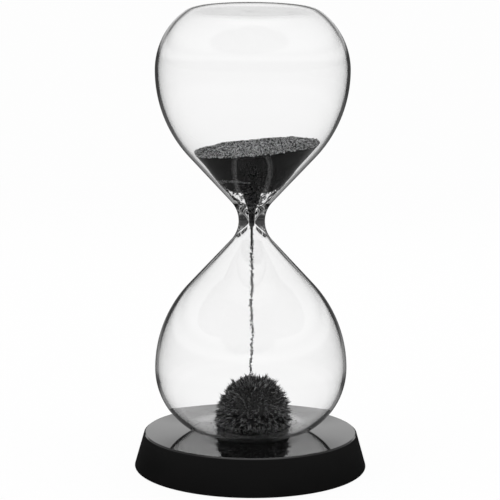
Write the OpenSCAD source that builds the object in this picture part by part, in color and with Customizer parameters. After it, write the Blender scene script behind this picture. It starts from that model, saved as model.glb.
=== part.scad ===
// Magnetic hourglass: a sealed glass timer filled with iron filings, standing free on a
// tapered base that hides a disc magnet. Millimetres, +Z up, origin on the axis at the table.

/* [Base] */
// Radius of the base at the table
base_r = 40; // [38:0.5:44]
// Height of the deck above the table
base_h = 12.2; // [11.5:0.1:14]
// How far the side leans in on its way up to the deck
base_taper = 3.4; // [2:0.1:4.5]
// Bevel along the rim of the deck
rim_bevel = 0.4; // [0.2:0.1:0.8]
// Thickness of the deck
deck_t = 2; // [1.6:0.1:2.4]
// Height of the round land that the glass stands on
seat_h = 1.2; // [0.8:0.1:1.6]
// Side wall of the base, measured at the bottom rim
side_wall = 2.4; // [2:0.1:3]

/* [Magnet] */
// Radius of the disc magnet
magnet_r = 11; // [9:0.5:13]
// Thickness of the disc magnet
magnet_t = 5; // [4:0.1:5.4]

/* [Underside] */
// Thickness of the cover that closes the base
cover_t = 1.8; // [1.5:0.1:2]
// Thickness of the soft pad under the cover
pad_t = 1; // [0.8:0.1:1.2]
// How far the pad stands proud of the rim
pad_proud = 0.3; // [0.2:0.05:0.5]
// Shank radius of the cover screws
screw_r = 1.2; // [1:0.1:1.5]
// Number of cover screws
screw_count = 3; // [3:1:4]

/* [Glass] */
// Widest radius of each bulb
bulb_r = 32.9; // [32:0.1:34]
// Distance from the waist to the widest ring of a bulb
bulb_reach = 50.5; // [50:0.1:52]
// Distance from the waist to either flat end
half_len = 71.4; // [70.8:0.1:72.6]
// Outside radius of the waist
neck_r = 4.5; // [4.2:0.1:5]
// Radius of the hollow curve at the waist
neck_curve_r = 9.5; // [8.5:0.1:10.5]
// Radius of the long curve above the flank, as a share of the distance to the widest ring
flank_share = 0.832; // [0.8:0.002:0.85]
// Radius of the flat at either end
foot_r = 18.4; // [17.6:0.1:19]
// Radius of the rolled edge around either flat end
foot_edge_r = 8; // [7:0.1:9]
// Wall of the bulbs
wall = 1.1; // [1:0.1:1.6]
// Radius of the bore through the waist
bore_r = 1.05; // [1:0.05:1.3]
// Radius of the hollow curve inside the waist
bore_curve_r = 4.2; // [3.6:0.1:5]

/* [Filings] */
// Height of the filings left in the upper bulb, above the waist
fill_h = 24.6; // [20:0.1:28]
// Slope of their top surface, in degrees
fill_tilt = 8.4; // [0:0.2:12]
// Compass direction in which that surface rises, in degrees
fill_dir = 50; // [0:1:90]
// Height above the waist at which these filings leave the glass
fill_hang = 14.6; // [13.6:0.1:15.6]
// Height above the waist of the lowest grains that hang over the bore
fill_low = 9.8; // [9:0.1:10.6]
// Radius of the heap on the floor, without its spikes
heap_r = 11.8; // [9:0.1:12.2]
// Height of the heap, without its spikes
heap_h = 15.6; // [12:0.1:18]
// How far the heap sits to one side of the axis
heap_shift = 1; // [0:0.1:1.5]
// Length of the longest spikes
spike_len = 1.9; // [1:0.1:2.4]
// Radius of the falling stream at the waist
stream_r = 0.7; // [0.5:0.05:0.7]

/* [Hidden] */
$fn = 96;

// Room between loose grains and the glass, beside them and under the heap
grain_gap = 0.3;
heap_rest = 0.02;
// Room between base pieces that slip into each other
slip = 0.2;
// Room around a screw's shank
screw_gap = 0.05;

deck_r = base_r - base_taper;
deck_under = base_h - deck_t;
seat_z = base_h + seat_h;
seat_bevel = 0.3;
seat_inset = 3;

pad_top = pad_t;
cover_top = pad_t + cover_t;
side_slope = base_taper / (base_h - pad_proud);
cover_bay_r = base_r - side_wall;
cover_r = cover_bay_r - slip;
pad_r = cover_r - slip;
ledge_w = 1.4;
ledge_r = cover_bay_r - ledge_w;
cavity_top_r = ledge_r - side_slope * (deck_under - cover_top);

magnet_top = seat_z - deck_t;
magnet_bottom = magnet_top - magnet_t;
pocket_r = magnet_r + slip;
pocket_wall = 1.6;
pocket_open = 0.6;
foam_r = magnet_r - 0.6;
foam_ring_r = foam_r + slip;
foam_ring_w = 1;
foam_ring_h = (magnet_bottom - cover_top) / 2;

boss_r = screw_r + 2;
boss_ring_r = (pocket_r + pocket_wall + ledge_r) / 2;
screw_tip = deck_under - 1.8;
screw_hole_tip = deck_under - 1.2;
head_r = 2.2 * screw_r;
head_h = head_r - screw_r;
cross_w = 0.5 * screw_r;
cross_depth = 0.6 * head_h;
hole_r = screw_r + slip;

flank_r = flank_share * bulb_reach;
crown_rise = half_len - foot_edge_r - bulb_reach;
crown_in = bulb_r - foot_r;
crown_r = (pow(crown_in, 2) + pow(crown_rise, 2) - pow(foot_edge_r, 2)) / (2 * (crown_in - foot_edge_r));
neck_z = seat_z + half_len;
floor_z = seat_z + wall;
hang_steps = 6;
hang_curve = 2.2;
drop_clear = 0.6;
tilt_reach = 3 * bulb_r;
fill_steps = 12;
cut_over = 1;
// Overlap of neighbouring curves in an outline, and how far they cross where they meet
lap = 1;
meet = 0.002;

heap_z = floor_z + heap_rest;
heap_rows = 13;
heap_cols = 34;
heap_top_share = 0.94;
heap_focus = 0.3 * heap_h;
spike_least = 0.55;
heap_belly = 0.8;
heap_shoulder = 0.95;

stream_sides = 6;
stream_rings = 30;
stream_top = neck_z + fill_low;
stream_top_r = 4.6 * stream_r;
stream_flare = 1.3;
stream_end = heap_z + heap_h + spike_len + drop_clear;
stream_thin = 0.3;
stream_sway = 0.35;
stream_free = 12;
sway_turn = 67;

// Direction of the straight flank, which touches the waist curve and the long curve
function flank_angle(nr, nc, br, fr) =
    let (dx = br - fr - nr - nc)
    atan2(bulb_reach, dx) - asin((nc + fr) / norm([dx, bulb_reach]));

// Unit vector square to that flank, pointing into the vessel
function flank_across(nr, nc, br, fr) =
    let (a = flank_angle(nr, nc, br, fr))
    [-sin(a), cos(a)];

// Radius of that flank at a height above the waist
function flank_at(h, nr, nc, br, fr) =
    let (a = flank_angle(nr, nc, br, fr), p = [nr + nc, 0] + nc * flank_across(nr, nc, br, fr))
    p.x + (h - p.y) / tan(a);

// Repeatable scatter between 0 and 1
function scatter(i, j) =
    let (s = sin(i * 127.1 + j * 311.7) * 4375.85)
    s - floor(s);

// Point on the flank, a little below the end of the waist curve
function flank_start(nr, nc, br, fr) =
    let (a = flank_angle(nr, nc, br, fr))
    [nr + nc, 0] + (nc - meet) * flank_across(nr, nc, br, fr) - lap * [cos(a), sin(a)];

// Half outline of a vessel above its waist: waist curve, flank, long curve, crown, flat end
module half_outline(nr, nc, br, fr, cr, len, er) {
    across = flank_across(nr, nc, br, fr);
    waist_c = [nr + nc, 0];
    waist_top = nc * across.y;
    belly_c = [br - fr, bulb_reach];
    crown_c = [br - cr, bulb_reach];
    flank_low = flank_start(nr, nc, br, fr);
    flank_high = belly_c - (fr - meet) * across;
    edge_way = ([foot_r, len - er] - crown_c) / (cr - er);
    crown_top = bulb_reach + cr * edge_way.y;
    difference() {
        square([waist_c.x, waist_top]);
        translate(waist_c) circle(r = nc);
    }
    polygon([[0, flank_low.y], flank_low, flank_high, [0, flank_high.y]]);
    intersection() {
        translate(belly_c) circle(r = fr);
        translate([0, flank_high.y - lap]) square([br + cut_over, bulb_reach - flank_high.y + lap]);
    }
    intersection() {
        union() {
            translate(crown_c + [meet, 0]) circle(r = cr);
            square([foot_r, len]);
        }
        translate([0, bulb_reach - lap]) square([br + cut_over, crown_top - bulb_reach + lap]);
    }
    intersection() {
        union() {
            translate(crown_c + (cr - er + 2 * meet) * edge_way) circle(r = er);
            square([foot_r, len + cut_over]);
        }
        translate([0, crown_top - lap]) square([br + cut_over, len - crown_top + lap]);
    }
}

module outer_half() {
    half_outline(neck_r, neck_curve_r, bulb_r, flank_r, crown_r, half_len, foot_edge_r);
}

module inner_half() {
    half_outline(
        bore_r, bore_curve_r, bulb_r - wall, flank_r - wall,
        crown_r - wall, half_len - wall, foot_edge_r - wall
    );
}

module at_screws() {
    for (i = [0 : screw_count - 1]) {
        rotate(90 + i * 360 / screw_count) translate([boss_ring_r, 0, 0]) children();
    }
}

// Tapered shell, open below, with a pocket for the magnet and posts for the screws
module base_body() {
    seat_r = foot_r - seat_inset;
    rim_r = deck_r + rim_bevel * side_slope;
    color([0.05, 0.05, 0.055])
    difference() {
        union() {
            rotate_extrude() polygon([
                [0, magnet_top], [pocket_r, magnet_top],
                [pocket_r, magnet_bottom + pocket_open],
                [pocket_r + pocket_wall, magnet_bottom + pocket_open],
                [pocket_r + pocket_wall, deck_under], [cavity_top_r, deck_under],
                [ledge_r, cover_top], [cover_bay_r, cover_top], [cover_bay_r, pad_proud],
                [base_r, pad_proud], [rim_r, base_h - rim_bevel],
                [deck_r - rim_bevel, base_h], [seat_r, base_h],
                [seat_r - seat_bevel, seat_z], [0, seat_z]
            ]);
            at_screws() translate([0, 0, cover_top])
                cylinder(r = boss_r, h = base_h - deck_t / 2 - cover_top);
        }
        at_screws() translate([0, 0, cover_top - cut_over])
            cylinder(r = screw_r + screw_gap, h = screw_hole_tip - cover_top + cut_over);
    }
}

module magnet() {
    color([0.55, 0.56, 0.58])
    translate([0, 0, magnet_bottom]) cylinder(r = magnet_r, h = magnet_t);
}

// Soft disc that presses the magnet up against the deck
module magnet_foam() {
    color([0.2, 0.2, 0.21])
    translate([0, 0, cover_top]) cylinder(r = foam_r, h = magnet_bottom - cover_top);
}

// Disc that closes the base, with countersunk holes and a ring around the foam
module base_cover() {
    color([0.07, 0.07, 0.075])
    difference() {
        union() {
            translate([0, 0, pad_top]) cylinder(r = cover_r, h = cover_t);
            translate([0, 0, pad_top]) difference() {
                cylinder(r = foam_ring_r + foam_ring_w, h = cover_t + foam_ring_h);
                translate([0, 0, cover_t]) cylinder(r = foam_ring_r, h = foam_ring_h + cut_over);
            }
        }
        at_screws() {
            translate([0, 0, pad_top - cut_over]) cylinder(r = hole_r, h = cover_t + 2 * cut_over);
            translate([0, 0, pad_top])
                cylinder(r1 = head_r + screw_gap, r2 = screw_r + screw_gap, h = head_h);
        }
    }
}

// Countersunk screws with a cross in the head
module cover_screws() {
    color([0.62, 0.62, 0.64])
    at_screws() translate([0, 0, pad_top]) difference() {
        union() {
            cylinder(r1 = head_r, r2 = screw_r, h = head_h);
            cylinder(r = screw_r, h = screw_tip - pad_top);
        }
        for (turn = [0, 90]) {
            rotate(turn) translate([0, 0, cross_depth / 2])
                cube([1.5 * head_r, cross_w, cross_depth + screw_gap], center = true);
        }
    }
}

module base_pad() {
    color([0.1, 0.1, 0.1])
    cylinder(r = pad_r, h = pad_t);
}

// Two bulbs and the thick waist between them, blown as one closed vessel
module glass_vessel() {
    color([0.9, 0.93, 0.94, 0.35])
    translate([0, 0, neck_z])
    rotate_extrude()
    difference() {
        union() {
            outer_half();
            mirror([0, 1]) outer_half();
        }
        inner_half();
        mirror([0, 1]) inner_half();
    }
}

// Outline of the upper filings: a hanging bowl, then short cones up the flank and the long curve
module fill_outline() {
    nr = bore_r - grain_gap;
    nc = bore_curve_r + grain_gap;
    br = bulb_r - wall - grain_gap;
    fr = flank_r - wall - grain_gap;
    a = flank_angle(nr, nc, br, fr);
    hang_r = flank_at(fill_hang, nr, nc, br, fr);
    bowl = [
        for (k = [0 : hang_steps])
        let (t = k / hang_steps)
        [
            stream_top_r + t * (hang_r - stream_top_r),
            fill_low + pow(t, hang_curve) * (fill_hang - fill_low)
        ]
    ];
    climb = [
        for (k = [0 : fill_steps])
        let (w = (a - 90) * (1 - k / fill_steps))
        [br - fr, bulb_reach] + fr * [cos(w), sin(w)]
    ];
    polygon(concat([[0, fill_low]], bowl, climb, [[0, bulb_reach]]));
}

// Filings still in the upper bulb, with a sloping top
module upper_filings() {
    color([0.16, 0.16, 0.17])
    translate([0, 0, neck_z])
    difference() {
        rotate_extrude() fill_outline();
        translate([0, 0, fill_h]) rotate([0, 0, fill_dir]) rotate([0, -fill_tilt, 0])
        translate([0, 0, tilt_reach / 2]) cube(tilt_reach, center = true);
    }
}

// Thin, slightly wavering column of falling grains
module falling_stream() {
    last = stream_rings - 1;
    step = (stream_top - stream_end) / last;
    function sway(k) = stream_sway * max(0, min(1, (k * step - fill_low) / stream_free));
    function gather(k) = pow(max(0, 1 - k * step / fill_low), stream_flare);
    function thick(k) = stream_r * (1 - stream_thin * k / last) + (stream_top_r - stream_r) * gather(k);
    points = [
        for (k = [0 : last], s = [0 : stream_sides - 1])
        let (turn = 360 * s / stream_sides)
        [
            sway(k) * sin(sway_turn * k) + thick(k) * cos(turn),
            sway(k) * cos(1.3 * sway_turn * k) - sway(k) + thick(k) * sin(turn),
            stream_top - k * step
        ]
    ];
    around = [
        for (k = [0 : last - 1], s = [0 : stream_sides - 1])
        let (a = k * stream_sides + s, b = k * stream_sides + (s + 1) % stream_sides)
        each [[a, b, b + stream_sides], [a, b + stream_sides, a + stream_sides]]
    ];
    ends = [
        for (s = [1 : stream_sides - 2])
        each [
            [0, s + 1, s],
            [last * stream_sides, last * stream_sides + s, last * stream_sides + s + 1]
        ]
    ];
    color([0.14, 0.14, 0.15])
    polyhedron(points = points, faces = concat(around, ends));
}

// Heap that the magnet holds together, every facet of its dome drawn out into a spike
module filings_heap() {
    cells = heap_rows * heap_cols;
    ring = (heap_rows + 1) * heap_cols;
    function dome(i, j) =
        let (lift = 90 * heap_top_share * i / heap_rows, turn = 360 * (j + i / 2) / heap_cols)
        let (r = heap_r * pow(cos(lift), heap_belly))
        [r * cos(turn), r * sin(turn), heap_h * pow(sin(lift), heap_shoulder)];
    function tip(i, j) =
        let (mid = (dome(i, j) + dome(i, j + 1) + dome(i + 1, j) + dome(i + 1, j + 1)) / 4)
        let (out = mid - [0, 0, heap_focus])
        let (len = spike_len * (spike_least + (1 - spike_least) * scatter(i, j)))
        let (p = mid + len * out / norm(out))
        [p.x, p.y, max(p.z, grain_gap)];
    points = concat(
        [for (i = [0 : heap_rows], j = [0 : heap_cols - 1]) dome(i, j)],
        [for (i = [0 : heap_rows - 1], j = [0 : heap_cols - 1]) tip(i, j)],
        [[0, 0, 0], [0, 0, heap_h + spike_len * spike_least]]
    );
    spikes = [
        for (i = [0 : heap_rows - 1], j = [0 : heap_cols - 1])
        let (
            a = i * heap_cols + j,
            b = i * heap_cols + (j + 1) % heap_cols,
            c = b + heap_cols,
            d = a + heap_cols,
            t = ring + i * heap_cols + j
        )
        each [[b, a, t], [c, b, t], [d, c, t], [a, d, t]]
    ];
    caps = [
        for (j = [0 : heap_cols - 1])
        let (next = (j + 1) % heap_cols, top = heap_rows * heap_cols)
        each [[j, next, ring + cells], [top + next, top + j, ring + cells + 1]]
    ];
    color([0.17, 0.17, 0.18])
    translate([heap_shift, 0, heap_z]) polyhedron(points = points, faces = concat(spikes, caps));
}

base_body();
magnet();
magnet_foam();
base_cover();
cover_screws();
base_pad();
upper_filings();
falling_stream();
filings_heap();
glass_vessel();
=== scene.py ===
import math

import bpy
import numpy as np
from mathutils import Matrix, Vector, noise


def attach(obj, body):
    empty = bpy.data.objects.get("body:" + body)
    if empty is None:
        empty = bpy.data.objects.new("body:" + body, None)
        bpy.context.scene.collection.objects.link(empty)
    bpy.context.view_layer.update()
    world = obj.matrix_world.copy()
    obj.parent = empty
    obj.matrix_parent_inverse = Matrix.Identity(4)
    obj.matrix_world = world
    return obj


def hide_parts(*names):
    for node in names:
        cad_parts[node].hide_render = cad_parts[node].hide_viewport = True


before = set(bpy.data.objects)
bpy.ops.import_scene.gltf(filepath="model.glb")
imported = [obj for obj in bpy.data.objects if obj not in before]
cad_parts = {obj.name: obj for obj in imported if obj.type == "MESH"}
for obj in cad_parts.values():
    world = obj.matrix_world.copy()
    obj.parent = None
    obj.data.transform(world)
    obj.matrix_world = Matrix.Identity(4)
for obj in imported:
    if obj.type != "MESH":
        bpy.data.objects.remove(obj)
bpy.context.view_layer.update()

# Sizes in millimetres, as in the part's source; meshes are scaled to metres when they are made
MM = 0.001

# Base: drum, bay of the cover, seat of the glass, pocket of the magnet, bosses of the screws
BASE_R, BASE_H, BASE_TAPER, RIM_BEVEL = 40, 12.2, 3.4, 0.4
DECK_T, SIDE_WALL, LEDGE_W = 2, 2.4, 1.4
PAD_T, PAD_PROUD, COVER_T = 1, 0.3, 1.8
SEAT_H, SEAT_INSET, SEAT_BEVEL, SEAT_SINK = 1.2, 3, 0.3, 0.05
MAGNET_R, MAGNET_T, MAGNET_SLIP, POCKET_OPEN, POCKET_WALL = 11, 5, 0.2, 0.6, 1.6
SCREW_R, SCREW_COUNT, SCREW_GAP, HOLE_SHORT, BOSS_WALL, BOSS_LAP = 1.2, 3, 0.05, 1.2, 2, 0.2

# Glass: either half is measured from the waist
BULB_R, BULB_REACH, HALF_LEN, FLANK_SHARE = 32.9, 50.5, 71.4, 0.832
NECK_R, NECK_CURVE, FOOT_R, FOOT_EDGE = 4.5, 9.5, 18.4, 8
BORE_R, BORE_CURVE, WALL = 1.05, 4.2, 1.1
FLANK_R = FLANK_SHARE * BULB_REACH
SEAT_Z = BASE_H + SEAT_H
NECK_Z = SEAT_Z + HALF_LEN
FLOOR_Z = SEAT_Z + WALL

# Filings: those in the upper bulb are measured from the waist, the heap from the floor of the glass
FILL_H, FILL_X, FILL_Y = 24.6, 0.095, 0.1135
FILL_LOW, FILL_HANG, STREAM_R = 9.8, 14.6, 0.7
HEAP_R, HEAP_H, HEAP_SHIFT = 11.8, 15.6, 1

# A splinter of iron: a tip, three points round its thick part and the other tip; a needle's tip is long
SHARD_POINTS, NEEDLE_TIP = 5, 0.7
SHARD_FACES = np.array([[0, 2, 1], [0, 3, 2], [0, 1, 3], [4, 1, 2], [4, 2, 3], [4, 3, 1]])


# Shader expressions
class Shade:
    """One socket in a finish. Sums, products and comparisons of sockets write their own Math nodes."""

    def __init__(self, tree, socket=None):
        self.tree, self.socket = tree, socket

    def node(self, kind, settings=None, sockets=None, out=0):
        """A node by its type, with its settings set first, then the values or links of its sockets."""
        made = self.tree.nodes.new("ShaderNode" + kind)
        for name, value in (settings or {}).items():
            setattr(made, name, value)
        for key, value in (sockets or {}).items():
            if isinstance(value, Shade):
                self.tree.links.new(value.socket, made.inputs[key])
            else:
                made.inputs[key].default_value = value
        return Shade(self.tree, made.outputs[out])

    def also(self, out):
        """Another output of the same node."""
        return Shade(self.tree, self.socket.node.outputs[out])

    def math(self, operation, a, b):
        return self.node("Math", {"operation": operation}, {0: a, 1: b})

    def __add__(self, other):
        return self.math("ADD", self, other)

    def __sub__(self, other):
        return self.math("SUBTRACT", self, other)

    def __rsub__(self, other):
        return self.math("SUBTRACT", other, self)

    def __mul__(self, other):
        return self.math("MULTIPLY", self, other)

    def __gt__(self, other):
        return self.math("GREATER_THAN", self, other)

    __radd__, __rmul__ = __add__, __mul__

    def smooth(self, low, high):
        """0 below low, 1 above high, with soft ends."""
        sockets = {0: self, 1: low, 2: high}
        return self.node("MapRange", {"interpolation_type": "SMOOTHSTEP"}, sockets)

    def blend(self, a, b):
        """Colour a where this is 0, colour b where it is 1."""
        return self.node("Mix", {"data_type": "RGBA"}, {0: self, 6: a, 7: b}, out=2)

    def bump(self, height, depth):
        """Normal for a surface with this height, depth in millimetres."""
        return self.node("Bump", {}, {"Strength": 1.0, "Distance": depth * MM, "Height": height})


def grey(value, warm=0.0):
    """A grey, a little warmer or colder."""
    return (value * (1 + warm), value, value * (1 - warm), 1)


def finish(name, build):
    """A material: build(shade) gives the values and links for the sockets of its shader."""
    made = bpy.data.materials.new(name)
    made.use_nodes = True
    tree = made.node_tree
    shader = tree.nodes["Principled BSDF"]
    for key, value in build(Shade(tree)).items():
        if isinstance(value, Shade):
            tree.links.new(value.socket, shader.inputs[key])
        else:
            shader.inputs[key].default_value = value
    return made


def speckle(shade, size, detail=2.0, rough=0.5):
    """Soft noise whose lumps are about size millimetres across, fixed to the object."""
    at = shade.node("TexCoord", out="Object")
    sockets = {"Vector": at, "Scale": 1 / (size * MM), "Detail": detail, "Roughness": rough}
    return shade.node("TexNoise", {}, sockets)


def streaks(shade, fineness, detail, distortion=0.0):
    """Soft noise drawn out along one axis: fineness is the count of lumps in a metre on each axis."""
    at = shade.node("TexCoord", out="Object")
    drawn = shade.node("Mapping", {}, {0: at, "Scale": fineness})
    sockets = {"Vector": drawn, "Scale": 1.0, "Detail": detail, "Distortion": distortion}
    return shade.node("TexNoise", {}, sockets)


# Mesh helpers
def make(name, verts, faces, materials, tones=None, picks=None, flat=None):
    """A mesh object from points in millimetres; faces with the material flat are left unsmoothed."""
    mesh = bpy.data.meshes.new(name)
    mesh.from_pydata((np.asarray(verts, float) * MM).tolist(), [], [tuple(f) for f in faces])
    for material in materials:
        mesh.materials.append(material)
    if picks is not None:
        mesh.polygons.foreach_set("material_index", picks)
    mesh.polygons.foreach_set("use_smooth", [polygon.material_index != flat for polygon in mesh.polygons])
    if tones is not None:
        tone = mesh.attributes.new("tone", "FLOAT", "POINT")
        tone.data.foreach_set("value", np.asarray(tones, np.float32))
    mesh.update()
    piece = bpy.data.objects.new(name, mesh)
    bpy.context.scene.collection.objects.link(piece)
    return piece


def polar(r, turn):
    """A point by its distance and its angle in radians."""
    return r * math.cos(turn), r * math.sin(turn)


def unit(ways):
    """Directions of length 1, one in each row."""
    return ways / np.linalg.norm(ways, axis=1, keepdims=True)


def arc(centre_x, centre_y, r, start, end, steps):
    """Points on an arc from one angle to another."""
    points = [polar(r, start + (end - start) * k / steps) for k in range(steps + 1)]
    return [(centre_x + x, centre_y + y) for x, y in points]


def turned(profile, segments):
    """A surface turned about Z from (radius, height) points, facing out where the points climb."""
    verts, faces, rings = [], [], []
    on_axis = 1e-6
    for r, z in profile:
        start = len(verts)
        if r < on_axis:
            verts.append((0, 0, z))
            rings.append([start] * segments)
        else:
            verts += [(*polar(r, 2 * math.pi * i / segments), z) for i in range(segments)]
            rings.append(list(range(start, start + segments)))
    for a, b in zip(rings, rings[1:]):
        for i in range(segments):
            j = (i + 1) % segments
            faces.append(list(dict.fromkeys([a[i], a[j], b[j], b[i]])))
    return verts, [f for f in faces if len(f) > 2]


def joined(*parts):
    """Several (points, faces) as one."""
    verts, faces = [], []
    for v, f in parts:
        start = len(verts)
        verts += list(v)
        faces += [[start + i for i in face] for face in f]
    return verts, faces


def shards(at, along, length, width, rng, tip_share=0.5):
    """Splinters of iron as (points, faces): tip_share of the length lies ahead of the thick middle."""
    n, edges, skew, thin, thick = len(at), 3, 0.5, 0.35, 0.65
    along = unit(along)
    side = unit(np.cross(along, rng.normal(size=(n, 3))))
    other = np.cross(along, side)
    verts = np.empty((n, SHARD_POINTS, 3))
    verts[:, 0] = at - along * (length * (1 - tip_share))[:, None]
    verts[:, -1] = at + along * (length * tip_share)[:, None]
    for k in range(edges):
        turn = 2 * math.pi * k / edges + rng.uniform(-skew, skew, n)
        reach = width * rng.uniform(thin, thick, n)
        across = side * np.cos(turn)[:, None] + other * np.sin(turn)[:, None]
        verts[:, k + 1] = at + across * reach[:, None]
    faces = (SHARD_FACES[None] + SHARD_POINTS * np.arange(n)[:, None, None]).reshape(-1, 3)
    return verts.reshape(-1, 3), faces


# Finishes
def deck_gloss(shade):
    """Polished black lacquer with a little dust and haze."""
    dust = speckle(shade, 0.5, 3).smooth(0.62, 0.8)
    haze = speckle(shade, 14, 4).smooth(0.35, 0.7)
    return {
        "Base Color": (dust * 0.5 + haze * 0.3).blend(grey(0.0065), grey(0.011, 0.02)),
        "Roughness": haze * 0.02 + 0.03,
        "IOR": 1.6,
        "Normal": shade.bump(speckle(shade, 9, 2), 0.002),
    }


def side_satin(shade):
    """Satin black with a fine grain."""
    grain = speckle(shade, 0.4, 3, 0.6)
    haze = speckle(shade, 11, 3).smooth(0.3, 0.7)
    return {
        "Base Color": (grain * 0.4 + haze * 0.4).blend(grey(0.0045), grey(0.0075, 0.02)),
        "Roughness": 0.34 + haze * 0.08,
        "Specular IOR Level": 0.12,
        "Normal": shade.bump(grain, 0.004),
    }


def clear_glass(shade):
    """Clear blown glass, a little wavy."""
    return {
        "Base Color": (1, 1, 1, 1),
        "Roughness": 0.0,
        "IOR": 1.47,
        "Transmission Weight": 1.0,
        "Normal": shade.bump(speckle(shade, 13, 1), 0.03),
    }


def filings_body(shade):
    """Packed filings, seen as one dark mass."""
    grain = speckle(shade, 0.45, 3, 0.7)
    lump = speckle(shade, 3, 2)
    bright = grain.smooth(0.55, 0.8) * 0.6 + lump.smooth(0.5, 0.8) * 0.2
    return {
        "Base Color": bright.blend(grey(0.006), grey(0.03)),
        "Roughness": 0.62 + grain * 0.2,
        "Metallic": 0.2,
        "Normal": shade.bump(grain, 0.3),
    }


def filings_loose(shade):
    """Single splinters, from dark to bright by their tone."""
    tone = shade.node("Attribute", {"attribute_name": "tone"}, out="Fac")
    grain = speckle(shade, 0.3, 2, 0.6)
    bright = (tone * (0.7 + grain * 0.6)).smooth(0.05, 1.0)
    return {
        "Base Color": bright.blend(grey(0.012), grey(0.85, -0.01)),
        "Roughness": 0.55 - tone * 0.15,
        "Metallic": 0.35,
        "Normal": shade.bump(grain, 0.12),
    }


def nickel(shade):
    """Nickel plating with fine brush marks."""
    brush = streaks(shade, (900, 60, 900), 3.0)
    return {
        "Base Color": brush.blend(grey(0.5), grey(0.64, 0.01)),
        "Metallic": 1.0,
        "Roughness": 0.2 + brush * 0.15,
        "Normal": shade.bump(brush, 0.01),
    }


def cell_foam(shade):
    """Fine closed-cell foam."""
    cell_size = 0.5
    at = shade.node("TexCoord", out="Object")
    cell = shade.node("TexVoronoi", {}, {"Vector": at, "Scale": 1 / (cell_size * MM)})
    return {
        "Base Color": cell.smooth(0, 0.7).blend(grey(0.075), grey(0.03)),
        "Roughness": 0.92,
        "Normal": shade.bump(cell, 0.2),
    }


def moulded_grain(shade):
    """Black plastic with a fine moulded grain."""
    pebble = speckle(shade, 0.35, 3, 0.6)
    return {
        "Base Color": speckle(shade, 12, 3).blend(grey(0.014), grey(0.024)),
        "Roughness": 0.48 + pebble * 0.16,
        "Normal": shade.bump(pebble, 0.05),
    }


def zinc(shade):
    """Zinc plating, brushed and a little cloudy."""
    brush = speckle(shade, 0.25, 4, 0.7)
    bloom = speckle(shade, 1.6, 2)
    return {
        "Base Color": bloom.blend(grey(0.52, 0.02), grey(0.66, -0.015)),
        "Metallic": 1.0,
        "Roughness": 0.26 + brush * 0.2,
        "Normal": shade.bump(brush, 0.01),
    }


def felt(shade):
    """Short black felt."""
    fibre = streaks(shade, (2600, 900, 2600), 4.0, 1.5)
    return {
        "Base Color": fibre.blend(grey(0.012), grey(0.05)),
        "Roughness": 0.95,
        "Sheen Weight": 0.3,
        "Normal": shade.bump(fibre, 0.15),
    }


# Glass
def outline(neck_r, neck_curve, bulb_r, flank_r, length, edge_r, flat):
    """Half outline of a vessel above its waist: (radius, height) from the waist out and up to the axis."""
    waist_steps, flank_steps, belly_steps, crown_steps, edge_steps, end_steps = 18, 12, 22, 16, 12, 5
    across = bulb_r - flank_r - neck_r - neck_curve
    between = math.hypot(across, BULB_REACH)
    slope = math.atan2(BULB_REACH, across) - math.asin((neck_curve + flank_r) / between)
    rise, drawn_in = length - edge_r - BULB_REACH, bulb_r - flat
    crown_r = (drawn_in ** 2 + rise ** 2 - edge_r ** 2) / (2 * (drawn_in - edge_r))
    lean = math.atan2(rise, flat - bulb_r + crown_r)
    waist = arc(neck_r + neck_curve, 0, neck_curve, math.pi, slope + math.pi / 2, waist_steps)
    belly = arc(bulb_r - flank_r, BULB_REACH, flank_r, slope - math.pi / 2, 0, belly_steps)
    flank = [tuple(p) for p in np.linspace(waist[-1], belly[0], flank_steps)[1:-1]]
    crown = arc(bulb_r - crown_r, BULB_REACH, crown_r, 0, lean, crown_steps)
    edge = arc(flat, length - edge_r, edge_r, lean, math.pi / 2, edge_steps)
    end = [(flat * (1 - k / end_steps), length) for k in range(1, end_steps + 1)]
    return waist + flank + belly + crown[1:] + edge[1:] + end


def hollow_half():
    """Inside of either bulb: the bore flares into an even wall."""
    return outline(BORE_R, BORE_CURVE, BULB_R - WALL, FLANK_R - WALL, HALF_LEN - WALL,
                   FOOT_EDGE - WALL, FOOT_R)


def inset(points, gaps):
    """The same run of points, moved towards the axis and up by a gap at each point."""
    p = np.array(points)
    way = unit(np.gradient(p, axis=0))
    return p + np.stack([-way[:, 1], way[:, 0]], 1) * np.asarray(gaps)[:, None]


def whole(half):
    """Both bulbs, from the lower end to the upper one."""
    return [(r, NECK_Z - z) for r, z in reversed(half[1:])] + [(r, NECK_Z + z) for r, z in half]


def glass_bulbs():
    """The sealed glass: its outside and its inside, each a closed surface."""
    segments = 160
    outer = outline(NECK_R, NECK_CURVE, BULB_R, FLANK_R, HALF_LEN, FOOT_EDGE, FOOT_R)
    shell = turned(whole(outer), segments)
    hollow = turned(whole(hollow_half())[::-1], segments)
    piece = make("glass_bulbs", *joined(shell, hollow), [finish("clear_glass", clear_glass)])
    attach(piece, "glass")
    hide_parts("glass_vessel")


# Base
def rounded(corners):
    """An outline with its corners rounded: (x, y, radius) at each corner."""
    steps = 5
    out = []
    for k, (_, _, radius) in enumerate(corners):
        p, q, r = (Vector(corners[(k + d) % len(corners)][:2]) for d in (-1, 0, 1))
        u, v = (p - q).normalized(), (r - q).normalized()
        if radius == 0:
            out.append(tuple(q))
            continue
        half = u.angle(v) / 2
        cut = radius / math.tan(half)
        centre = q + (u + v).normalized() * (radius / math.sin(half))
        start, end = q + u * cut - centre, q + v * cut - centre
        turn = math.atan2(start.x * end.y - start.y * end.x, start.dot(end))
        for i in range(steps + 1):
            x, y = polar(radius, math.atan2(start.y, start.x) + turn * i / steps)
            out.append((centre.x + x, centre.y + y))
    return out


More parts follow.
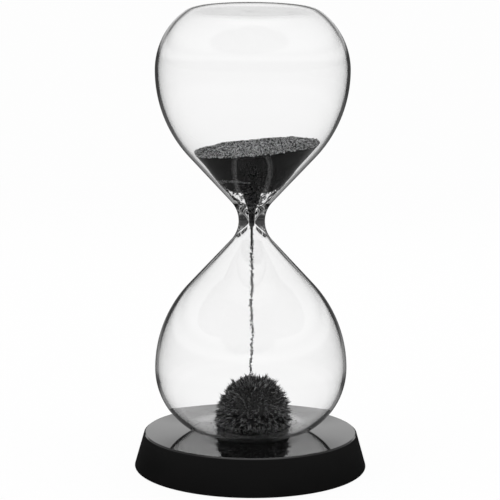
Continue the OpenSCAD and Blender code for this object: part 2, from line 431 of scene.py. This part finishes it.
def base_drum():
    """Drum with deck, seat, magnet pocket and screw bosses; the deck is polished, the rest satin."""
    slope = BASE_TAPER / (BASE_H - PAD_PROUD)
    deck_r, deck_under, cover_top = BASE_R - BASE_TAPER, BASE_H - DECK_T, PAD_T + COVER_T
    bay_r = BASE_R - SIDE_WALL
    ledge_r = bay_r - LEDGE_W
    cavity_r = ledge_r - slope * (deck_under - cover_top)
    magnet_top = SEAT_Z - DECK_T
    pocket_r, pocket_z = MAGNET_R + MAGNET_SLIP, magnet_top - MAGNET_T + POCKET_OPEN
    collar_r = pocket_r + POCKET_WALL
    seat_r, seat_top = FOOT_R - SEAT_INSET, SEAT_Z - SEAT_SINK
    drum = rounded([
        (0, magnet_top, 0),
        (pocket_r, magnet_top, 0.2),
        (pocket_r, pocket_z, 0.1),
        (collar_r, pocket_z, 0.1),
        (collar_r, deck_under, 0.3),
        (cavity_r, deck_under, 0.5),
        (ledge_r, cover_top, 0.2),
        (bay_r, cover_top, 0.1),
        (bay_r, PAD_PROUD, 0.15),
        (BASE_R, PAD_PROUD, 0.3),
        (deck_r + RIM_BEVEL * slope, BASE_H - RIM_BEVEL, 0.2),
        (deck_r - RIM_BEVEL, BASE_H, 0.2),
        (seat_r, BASE_H, 0.25),
        (seat_r - SEAT_BEVEL, seat_top, 0.25),
        (0, seat_top, 0),
    ])
    drum_segments, boss_segments = 256, 32
    parts = [turned(drum, drum_segments)]
    hole_r, hole_end = SCREW_R + SCREW_GAP, deck_under - HOLE_SHORT
    boss_r, boss_end = SCREW_R + BOSS_WALL, deck_under + BOSS_LAP
    boss = [(0, hole_end), (hole_r, hole_end), (hole_r, cover_top),
            (boss_r, cover_top), (boss_r, boss_end), (0, boss_end)]
    ring_r = (collar_r + ledge_r) / 2
    for k in range(SCREW_COUNT):
        verts, faces = turned(boss, boss_segments)
        dx, dy = polar(ring_r, math.radians(90 + 360 / SCREW_COUNT * k))
        parts.append(([(x + dx, y + dy, z) for x, y, z in verts], faces))
    verts, faces = joined(*parts)

    low = [min(verts[i][2] for i in face) for face in faces]
    wide = [max(math.hypot(*verts[i][:2]) for i in face) for face in faces]
    under_rim, beyond_rim, crisp_angle = 0.3, 0.2, 40
    gloss_low, gloss_r = BASE_H - RIM_BEVEL - under_rim, deck_r + beyond_rim
    picks = [0 if z > gloss_low and r < gloss_r else 1 for z, r in zip(low, wide)]
    finishes = [finish("deck_gloss", deck_gloss), finish("side_satin", side_satin)]
    piece = make("base_drum", verts, faces, finishes, picks=picks)
    split = piece.modifiers.new("crisp edges", "EDGE_SPLIT")
    split.split_angle = math.radians(crisp_angle)
    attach(piece, "base")
    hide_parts("base_body")


def dress_base():
    """Finishes for the pieces in the base whose solids show as they are."""
    for node, build in (("magnet", nickel), ("magnet_foam", cell_foam), ("base_cover", moulded_grain),
                        ("cover_screws", zinc), ("base_pad", felt)):
        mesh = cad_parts[node].data
        mesh.materials.clear()
        mesh.materials.append(finish(node + "_finish", build))


# Filings
def filings_piece(name, mass, loose, tone, finishes):
    """A packed mass and the splinters on it, as (points, faces), and a tone for each splinter's point."""
    picks = [0] * len(mass[1]) + [1] * len(loose[1])
    tones = np.concatenate([np.zeros(len(mass[0])), tone])
    return make(name, *joined(mass, loose), finishes, tones, picks, flat=1)


def fill_outline():
    """Side of the upper filings: a shallow bowl out to the wall, then a line a little inside the wall."""
    bowl_steps, bowl_curve, column_share = 16, 2.2, 4.6
    gap_low, gap_high, gap_high_z = 0.3, 0.95, 18
    wall = [p for p in hollow_half() if FILL_HANG < p[1] < BULB_REACH]
    wall = inset(wall, np.interp([p[1] for p in wall], [FILL_HANG, gap_high_z], [gap_low, gap_high]))
    start = column_share * STREAM_R
    share = np.linspace(0, 1, bowl_steps)[:-1]
    bowl = np.stack([start + share * (wall[0][0] - start),
                     FILL_LOW + share ** bowl_curve * (wall[0][1] - FILL_LOW)], 1)
    return np.concatenate([bowl, wall])


def fill_top(x, y):
    """Height of the upper filings: a tilted plane with broad and fine lumps."""
    broad, fine = (3, 0.16, 0.35), (9, 0.6, 0.12)
    lump = sum(noise.noise(Vector((x, y, layer)) * fineness) * height
               for layer, fineness, height in (broad, fine))
    return FILL_H + FILL_X * x + FILL_Y * y + lump


def fill_rim(reach):
    """Where the top of the upper filings meets their side: (angle, height) all round, found by halving."""
    segments, halvings = 144, 40
    rim = []
    for i in range(segments):
        turn = 2 * math.pi * i / segments
        low, high = 15.0, 45.0
        for _ in range(halvings):
            middle = (low + high) / 2
            if middle < fill_top(*polar(reach(middle), turn)):
                low = middle
            else:
                high = middle
        rim.append((turn, low))
    return rim


def fill_mass(reach, rim):
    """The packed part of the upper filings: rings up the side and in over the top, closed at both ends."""
    climbs, climb_curve, rings = 30, 1.3, 26
    verts, faces = [], []
    for k in range(climbs + 1):
        for turn, high in rim:
            z = FILL_LOW + (high - FILL_LOW) * (k / climbs) ** climb_curve
            verts.append((*polar(reach(z), turn), z))
    for k in range(1, rings):
        for turn, high in rim:
            x, y = polar(reach(high) * (1 - k / rings), turn)
            verts.append((x, y, fill_top(x, y)))
    segments = len(rim)
    last = len(verts) - segments
    for first in range(0, last, segments):
        for i in range(segments):
            j = (i + 1) % segments
            faces.append((first + i, first + j, first + segments + j, first + segments + i))
    verts += [(0, 0, FILL_LOW), (0, 0, fill_top(0, 0))]
    for i in range(segments):
        j = (i + 1) % segments
        faces.append((j, i, len(verts) - 2))
        faces.append((last + i, last + j, len(verts) - 1))
    return [(x, y, z + NECK_Z) for x, y, z in verts], faces


def top_grains(rng, reach, rim):
    """Splinters on top of the upper filings, with a painted highlight that makes them lighter towards the
    front: places, directions, tones.
    """
    total, inside, proud = 8000, 0.995, 0.08
    tones, dimmest = [0, 0.2, 1.0, 1.0], 0.75
    front_highlight_reach, front_highlight_start, front_highlight_gain = 23, 0.45, 0.5
    turns = rng.uniform(0, 2 * math.pi, total)
    shares = np.sqrt(rng.uniform(0, 1, total)) * inside
    rim_turns = np.arange(len(rim) + 1) * 2 * math.pi / len(rim)
    rim_highs = [high for _, high in rim + rim[:1]]
    at, tone = [], []
    for turn, share in zip(turns, shares):
        x, y = polar(reach(np.interp(turn, rim_turns, rim_highs)) * share, turn)
        at.append((x, y, fill_top(x, y) + proud + NECK_Z))
        # Painted highlight: a lighter tone towards the front stands in for light caught by the splinters
        # there.
        front = max(0, -y / front_highlight_reach - front_highlight_start) * front_highlight_gain
        tone.append(min(1, rng.choice(tones) * rng.uniform(dimmest, 1) + front * rng.uniform(0, 1)))
    return at, rng.normal(size=(total, 3)) * (1, 1, 0.5), tone


def painted_reflection_grains(rng, reach):
    """Light splinters round the front left of the hanging bowl, broader to the left: a painted reflection
    that stands in for a pale line of light in the glass where its wall thickens.
    """
    left, right, total = math.radians(188), math.radians(268), 420
    height, wave, waves, thin, broad, sunk = 14, 0.25, 5, 0.06, 0.25, 0.08
    at, lie, tone = [], [], []
    for turn in rng.uniform(left, right, total):
        z = height + wave * math.sin(waves * turn) + rng.normal(0, thin + broad * (right - turn))
        at.append((*polar(reach(z) - sunk, turn), z + NECK_Z))
        tone.append(rng.uniform(0.4, 0.9))
        lie.append((-math.sin(turn), math.cos(turn), rng.normal(0, 0.2)))
    return at, lie, tone


def throat_grains(rng):
    """Splinters that cling in patches to the glass between the hanging bowl and the bore."""
    total, gap, low, height, crowding = 4600, 0.3, 3.2, 9.8, 0.8
    patch_round, patch_up, patch_least = 4, 0.7, -0.05
    wall_low, wall_high = 2.5, 16
    wall = [p for p in hollow_half() if wall_low < p[1] < wall_high]
    wall = inset(wall, np.full(len(wall), gap))
    at, lie, tone = [], [], []
    for turn, share in zip(rng.uniform(0, 2 * math.pi, total), rng.uniform(0, 1, total)):
        z = low + height * share ** crowding
        out_x, out_y = math.cos(turn), math.sin(turn)
        if noise.noise(Vector((patch_round * out_x, patch_round * out_y, z * patch_up))) < patch_least:
            continue
        r = np.interp(z, wall[:, 1], wall[:, 0])
        at.append((r * out_x, r * out_y, z + NECK_Z))
        tone.append(rng.uniform(0, 0.5))
        round_way, up_way = rng.normal(size=2)
        lie.append((up_way * out_x - round_way * out_y, up_way * out_y + round_way * out_x, up_way))
    return at, lie, tone


def upper_grains(finishes):
    """The filings left in the upper bulb, with splinters on top, light ones round the bowl as a painted
    reflection, and splinters in the throat.
    """
    rng = np.random.default_rng(7)
    line = fill_outline()

    def reach(z):
        return np.interp(z, line[:, 1], line[:, 0])

    rim = fill_rim(reach)
    groups = [top_grains(rng, reach, rim), painted_reflection_grains(rng, reach), throat_grains(rng)]
    at, lie, tone = (np.concatenate([group[k] for group in groups]) for k in range(3))
    total, on_top, clinging = len(at), len(groups[0][0]), 0.6
    width = rng.uniform(0.45, 0.75, total) * np.where(np.arange(total) < on_top, 1, clinging)
    loose = shards(at, lie, rng.uniform(0.45, 0.8, total), width, rng)
    tone = np.repeat(tone, SHARD_POINTS)
    piece = filings_piece("upper_grains", fill_mass(reach, rim), loose, tone, finishes)
    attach(piece, "grains")
    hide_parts("upper_filings")


def stream_grains(finishes):
    """A column that narrows into the bore, and a thread of splinters from it down to the heap."""
    rng = np.random.default_rng(11)
    total, crowding, above_heap, flare_curve = 1300, 1.35, 1.2, 1.3
    high, low = NECK_Z + FILL_LOW, FLOOR_Z + HEAP_H + above_heap
    z = high + (low - high) * rng.uniform(0, 1, total) ** crowding
    drop = NECK_Z - z

    # The thread sways once it is free of the bore, and drifts a little to the right
    sway_drop, sway_run, drift = 10, 25, 0.006
    free = np.clip((drop - sway_drop) / sway_run, 0, 1)
    slow, quick, sideways = (0.26, 0.31, 0), (0.16, 0.83, 1), (0.3, 0.43)
    sway = sum(size * np.sin(z * rate + begin) for size, rate, begin in (slow, quick))
    x = free * sway + drift * np.maximum(drop, 0)
    y = free * sideways[0] * np.cos(z * sideways[1])

    # It is wide in the column, pinched just under the bore and thinner towards the heap
    gather = np.clip(-drop / FILL_LOW, 0, 1) ** flare_curve
    thick, thinner, thin_drop, flared = 0.46, 0.16, 55, 1.4
    spread = thick - thinner * np.clip(drop / thin_drop, 0, 1) + flared * gather
    pinch, pinch_drop, pinch_run = 0.45, 4, 3
    spread *= 1 - pinch * np.exp(-((drop - pinch_drop) / pinch_run) ** 2)
    at = np.stack([x, y, z], 1) + rng.normal(size=(total, 3)) * (spread[:, None] * (0.7, 0.7, 0.3))
    bore_limit, flare_limit, on_axis = 0.62, 2.5, 1e-6
    limit = (bore_limit + flare_limit * gather) / np.maximum(np.hypot(at[:, 0], at[:, 1]), on_axis)
    at[:, :2] *= np.minimum(1, limit + 2 * free)[:, None]
    lie = rng.normal(size=(total, 3)) * (0.45, 0.45, 1)
    loose = shards(at, lie, rng.uniform(0.45, 0.85, total), rng.uniform(0.28, 0.46, total), rng)
    tone = np.repeat(rng.uniform(0, 1, total) ** 4 * 0.5, SHARD_POINTS)

    segments, flare_steps, flare_r, flare_w = 24, 10, 0.95, 2.21
    tail = [(0, -9), (0.3, -8), (0.4, -2), (0.93, -1.4)]
    flare = [(flare_r + flare_w * k ** flare_curve, FILL_LOW * k) for k in np.linspace(0, 1, flare_steps)]
    verts, faces = turned([(r, NECK_Z + z) for r, z in tail + flare + [(0, FILL_LOW)]], segments)
    uneven, fineness = 0.06, 2
    verts = [(x * (1 + uneven * noise.noise(Vector((x, y, z)) * fineness)), y, z) for x, y, z in verts]
    piece = filings_piece("stream_grains", (verts, faces), loose, tone, finishes)
    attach(piece, "grains")
    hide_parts("falling_stream")


def dome(lift, turn, scale):
    """Points on the heap's dome, scaled about the middle of its foot."""
    shoulder, crown = 0.8, 0.95
    r = HEAP_R * scale * np.cos(lift) ** shoulder
    return np.stack([r * np.cos(turn), r * np.sin(turn), HEAP_H * scale * np.sin(lift) ** crown], -1)


def heap_mass():
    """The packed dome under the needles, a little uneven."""
    rows, cols, scale, highest = 22, 72, 0.93, math.radians(88)
    uneven, fineness = 0.03, 0.7
    verts = [(0.0, 0.0, 0.0)]
    for i in range(rows):
        for j in range(cols):
            p = dome(np.array(highest * i / (rows - 1)), np.array(2 * math.pi * j / cols), scale)
            verts.append(tuple(p * (1 + uneven * noise.noise(Vector(p) * fineness))))
    verts.append((0.0, 0.0, HEAP_H * scale))
    faces = []
    for j in range(cols):
        n = (j + 1) % cols
        faces.append((0, 1 + n, 1 + j))
        faces.append((1 + (rows - 1) * cols + j, 1 + (rows - 1) * cols + n, len(verts) - 1))
        for i in range(rows - 1):
            a, b = 1 + i * cols, 1 + (i + 1) * cols
            faces.append((a + j, a + n, b + n, b + j))
    return verts, faces


def heap_needles(rng):
    """Tufts of needles all over the dome that point away from the magnet: (points, faces) and tones."""
    tufts, per = 640, 8
    total = tufts * per
    focus, root_scale, lowest = 0.3 * HEAP_H, 0.96, 0.12

    # Each tuft stands the golden angle on from the one before
    k = np.arange(tufts) + 0.5
    lift = np.arcsin(np.clip(k / tufts, 0, 0.999)) * 0.99
    turn = k * math.pi * (3 - math.sqrt(5)) + rng.normal(0, 0.06, tufts)
    root = dome(lift, turn, root_scale)
    out = unit(root - (0, 0, focus))
    out = unit(out + rng.normal(0, 0.12, out.shape))
    long = 1.2 + 1.9 * rng.uniform(0, 1, tufts) ** 1.4
    root, out, long = (np.repeat(a, per, 0) for a in (root, out, long))
    start = root + rng.normal(0, 0.55, (total, 3)) - out * 0.5
    end = root + out * (long * rng.uniform(0.55, 1.1, total))[:, None] + rng.normal(0, 0.3, (total, 3))
    end[:, 2] = np.maximum(end[:, 2], lowest)
    start[:, 2] = np.maximum(start[:, 2], lowest)
    along = end - start
    width, thick_at = rng.uniform(0.32, 0.52, total), 0.3
    length = np.linalg.norm(along, axis=1)
    needles = shards(start + along * thick_at, along, length, width, rng, NEEDLE_TIP)

    # A few are bright at random; painted highlights make more of them bright low down at the front and each
    # bright at its tip, and painted shade makes each dark at its root and all dimmer higher up
    front_highlight_high = 9
    low_front_highlight = np.clip(1 - start[:, 2] / front_highlight_high, 0, 1) * np.clip(-start[:, 1] / HEAP_R, 0, 1)
    glint = (0.06 + 1.3 * rng.uniform(0, 1, total) ** 2.5) * (1 - 0.25 * start[:, 2] / HEAP_H)
    glint = np.minimum(1, glint + low_front_highlight * rng.uniform(0, 1, total) ** 1.5)
    return needles, np.outer(glint, (0.0, 0.45, 0.45, 0.45, 1.0)).ravel()


def painted_reflection_fringe(rng):
    """Short needles that lie on the glass in front of the heap, a painted reflection of the needles below
    the heap, each painted dark at its root and bright at its tip: (points, faces) and tones.
    """
    total, sunk, reach, thinning = 620, 0.5, 5.7, 1.3
    turn = rng.normal(-math.pi / 2, 0.6, total)
    far = HEAP_R - sunk + reach * rng.uniform(0, 1, total) ** thinning * np.clip(-np.sin(turn), 0, 1) ** 2
    out = np.stack([np.cos(turn), np.sin(turn), rng.uniform(0.1, 0.9, total)], 1)
    out += rng.normal(0, 0.2, (total, 3)) * (1, 1, 0)
    root = np.stack([far * np.cos(turn), far * np.sin(turn), rng.uniform(0.2, 0.5, total)], 1)
    length, width = rng.uniform(0.9, 1.7, total), rng.uniform(0.3, 0.46, total)
    needles = shards(root, out, length, width, rng, NEEDLE_TIP)
    return needles, np.outer(rng.uniform(0, 1, total), (0.0, 0.6, 0.6, 0.6, 1.0)).ravel()


def heap_strays(rng):
    """Single splinters on the glass round the heap: (points, faces) and tones."""
    at = np.array([(-14.6, -2, 0.2), (15.0, 1, 0.3), (-13.6, -7, 0.2),
                   (13.4, -8, 0.2), (12.8, -9.6, 0.2), (-9, 13, 0.2)])
    long, wide, tone = 0.9, 0.35, 0.1
    lie = rng.normal(size=at.shape) * (1, 1, 0.2)
    strays = shards(at, lie, np.full(len(at), long), np.full(len(at), wide), rng)
    return strays, np.full(len(strays[0]), tone)


def heap_bristles(finishes):
    """The heap on the floor of the glass: a packed dome, its needles, a fringe in front that paints their
    reflection, and a few strays.
    """
    rng = np.random.default_rng(5)
    groups = [heap_needles(rng), painted_reflection_fringe(rng), heap_strays(rng)]
    off_floor = 0.03

    def stood(part):
        """The part on the floor of the glass, with nothing below it."""
        verts = np.array(part[0])
        verts[:, 2] = np.maximum(verts[:, 2], off_floor)
        return verts + (HEAP_SHIFT, 0, FLOOR_Z), part[1]

    loose = joined(*(part for part, _ in groups))
    tone = np.concatenate([tone for _, tone in groups])
    piece = filings_piece("heap_bristles", stood(heap_mass()), stood(loose), tone, finishes)
    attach(piece, "heap")
    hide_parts("filings_heap")


# Studio
def ray_history(shade):
    """A ray's kind: from the camera, mirrored, let through. Then what it has met on its way: the hollow
    of the glass, which takes more than two surfaces, a mirror, a matt surface."""
    path, over_two, over_none = shade.node("LightPath"), 2.5, 0.5
    bare, glossy, passing = (path.also(f"Is {kind} Ray") for kind in ("Camera", "Glossy", "Transmission"))
    clear = path.also("Transmission Depth") > over_two
    bounced, lit = (path.also(f"{kind} Depth") > over_none for kind in ("Glossy", "Diffuse"))
    return bare, glossy, passing, clear, bounced, lit


def backdrop():
    """White room: plain light on the object, white behind the glass, dark along the edges of its wall."""
    plain, white = 0.7, 0.985
    world = bpy.data.worlds.new("studio")
    world.use_nodes = True
    bpy.context.scene.world = world
    tree = world.node_tree
    shade = Shade(tree)
    climb = shade.node("SeparateXYZ", {}, {0: shade.node("TexCoord", out="Generated")}).also("Z")
    bare, glossy, passing, clear, bounced, lit = ray_history(shade)
    mirror = 0.08 + climb.smooth(0.13, 0.22) * 0.92 - climb.smooth(0.26, 0.36) * 0.6
    mirror = mirror + climb.smooth(0.85, 0.97) * 0.6
    edge = 0.03 + (bounced * climb.smooth(0.28, 0.5) + (1 - bounced) * climb.smooth(0.2, 0.7)) * 0.9
    through = clear * (bounced * (0.8 + mirror * 0.2) + (1 - bounced)) + (1 - clear) * edge
    outside = glossy * mirror + (1 - glossy) * (bare * white + (1 - bare) * plain)
    seen = passing * through + (1 - passing) * outside
    sky = tree.nodes["Background"]
    sky.inputs["Color"].default_value = grey(1.0)
    tree.links.new((lit * plain + (1 - lit) * seen).socket, sky.inputs["Strength"])


def floor_sweep():
    """Pale floor that keeps a soft shadow: white to the camera, dark along the edges of the glass."""
    half, white = 2500, 0.95
    corners = [(-half, -half, 0), (half, -half, 0), (half, half, 0), (-half, half, 0)]
    floor = make("floor", corners, [(0, 1, 2, 3)], [])
    made = bpy.data.materials.new("floor_sweep")
    made.use_nodes = True
    tree = made.node_tree
    tree.nodes.remove(tree.nodes["Principled BSDF"])
    shade = Shade(tree)
    bare, glossy, passing, clear, bounced, lit = ray_history(shade)
    place = shade.node("NewGeometry", out="Position")
    far = shade.node("VectorMath", {"operation": "LENGTH"}, {0: place}, out="Value")
    direct = (1 - bounced) * (clear + (1 - clear) * (1 - far.smooth(0.1, 0.27)) * 0.15)
    # Painted highlight: seen through the glass from close by, the floor glows brighter, lighting the edges
    # of the lower bulb near its bottom.
    close = 1 - shade.node("LightPath", out="Ray Length").smooth(0.07, 0.12)
    edge = 0.03 + close * 0.25 + (1 - close) * far.smooth(0.12, 0.2) * 0.3 - far.smooth(0.25, 0.7) * 0.3
    glanced = bounced * (clear * 0.6 + (1 - clear) * edge)
    mirror = glossy * far.smooth(0.25, 0.6) * 0.1
    glow = bare + (1 - bare) * (passing * (direct + glanced) + (1 - passing) * mirror)
    diffuse = shade.node("BsdfDiffuse", {}, {"Color": grey(0.05)})
    emit = shade.node("Emission", {}, {"Color": grey(1.0), "Strength": glow * (1 - lit) * white})
    both = shade.node("AddShader", {}, {0: diffuse, 1: emit})
    tree.links.new(both.socket, tree.nodes["Material Output"].inputs["Surface"])
    floor.data.materials.append(made)


def lamp(name, place, size, power):
    """A soft square lamp aimed just below the waist, in metres; no mirror and no glass shows it."""
    target = Vector((0, 0, 0.07))
    light = bpy.data.lights.new(name, "AREA")
    light.shape, light.size, light.energy = "SQUARE", size, power
    holder = bpy.data.objects.new(name, light)
    holder.location = place
    holder.rotation_euler = (target - Vector(place)).to_track_quat("-Z", "Y").to_euler()
    holder.visible_camera = holder.visible_transmission = holder.visible_glossy = False
    bpy.context.scene.collection.objects.link(holder)


def camera():
    """Camera fitted to the photograph: place in millimetres, angles in radians, focal length in pixels."""
    place, pitch, roll, focal = (-0.5399, -401.7064, 114.6555), 0.0989, 0.0064, 1181.5487
    image_width, sensor = 500, 36
    right, up = Vector((1, 0, 0)), Vector((0, math.sin(pitch), math.cos(pitch)))
    back = Vector((0, -math.cos(pitch), math.sin(pitch)))
    right, up = (right * math.cos(roll) + up * math.sin(roll), up * math.cos(roll) - right * math.sin(roll))
    view = bpy.data.cameras.new("camera")
    view.sensor_fit, view.sensor_width, view.lens = "HORIZONTAL", sensor, sensor * focal / image_width
    view.clip_start, view.clip_end = 0.01, 50
    holder = bpy.data.objects.new("camera", view)
    holder.matrix_world = Matrix((right, up, back)).transposed().to_4x4()
    holder.location = Vector(place) * MM
    bpy.context.scene.collection.objects.link(holder)
    bpy.context.scene.camera = holder


camera()
backdrop()
floor_sweep()
lamp("key_left", (-0.75, -0.55, 0.6), 0.5, 1.6)
lamp("fill_right", (0.8, -0.3, 0.5), 0.6, 0.9)
lamp("rear_top", (0.1, 0.6, 0.9), 0.6, 1.6)
base_drum()
dress_base()
filings = [finish("filings_body", filings_body), finish("filings_loose", filings_loose)]
upper_grains(filings)
stream_grains(filings)
heap_bristles(filings)
glass_bulbs()
bpy.context.scene.view_settings.view_transform = "Standard"
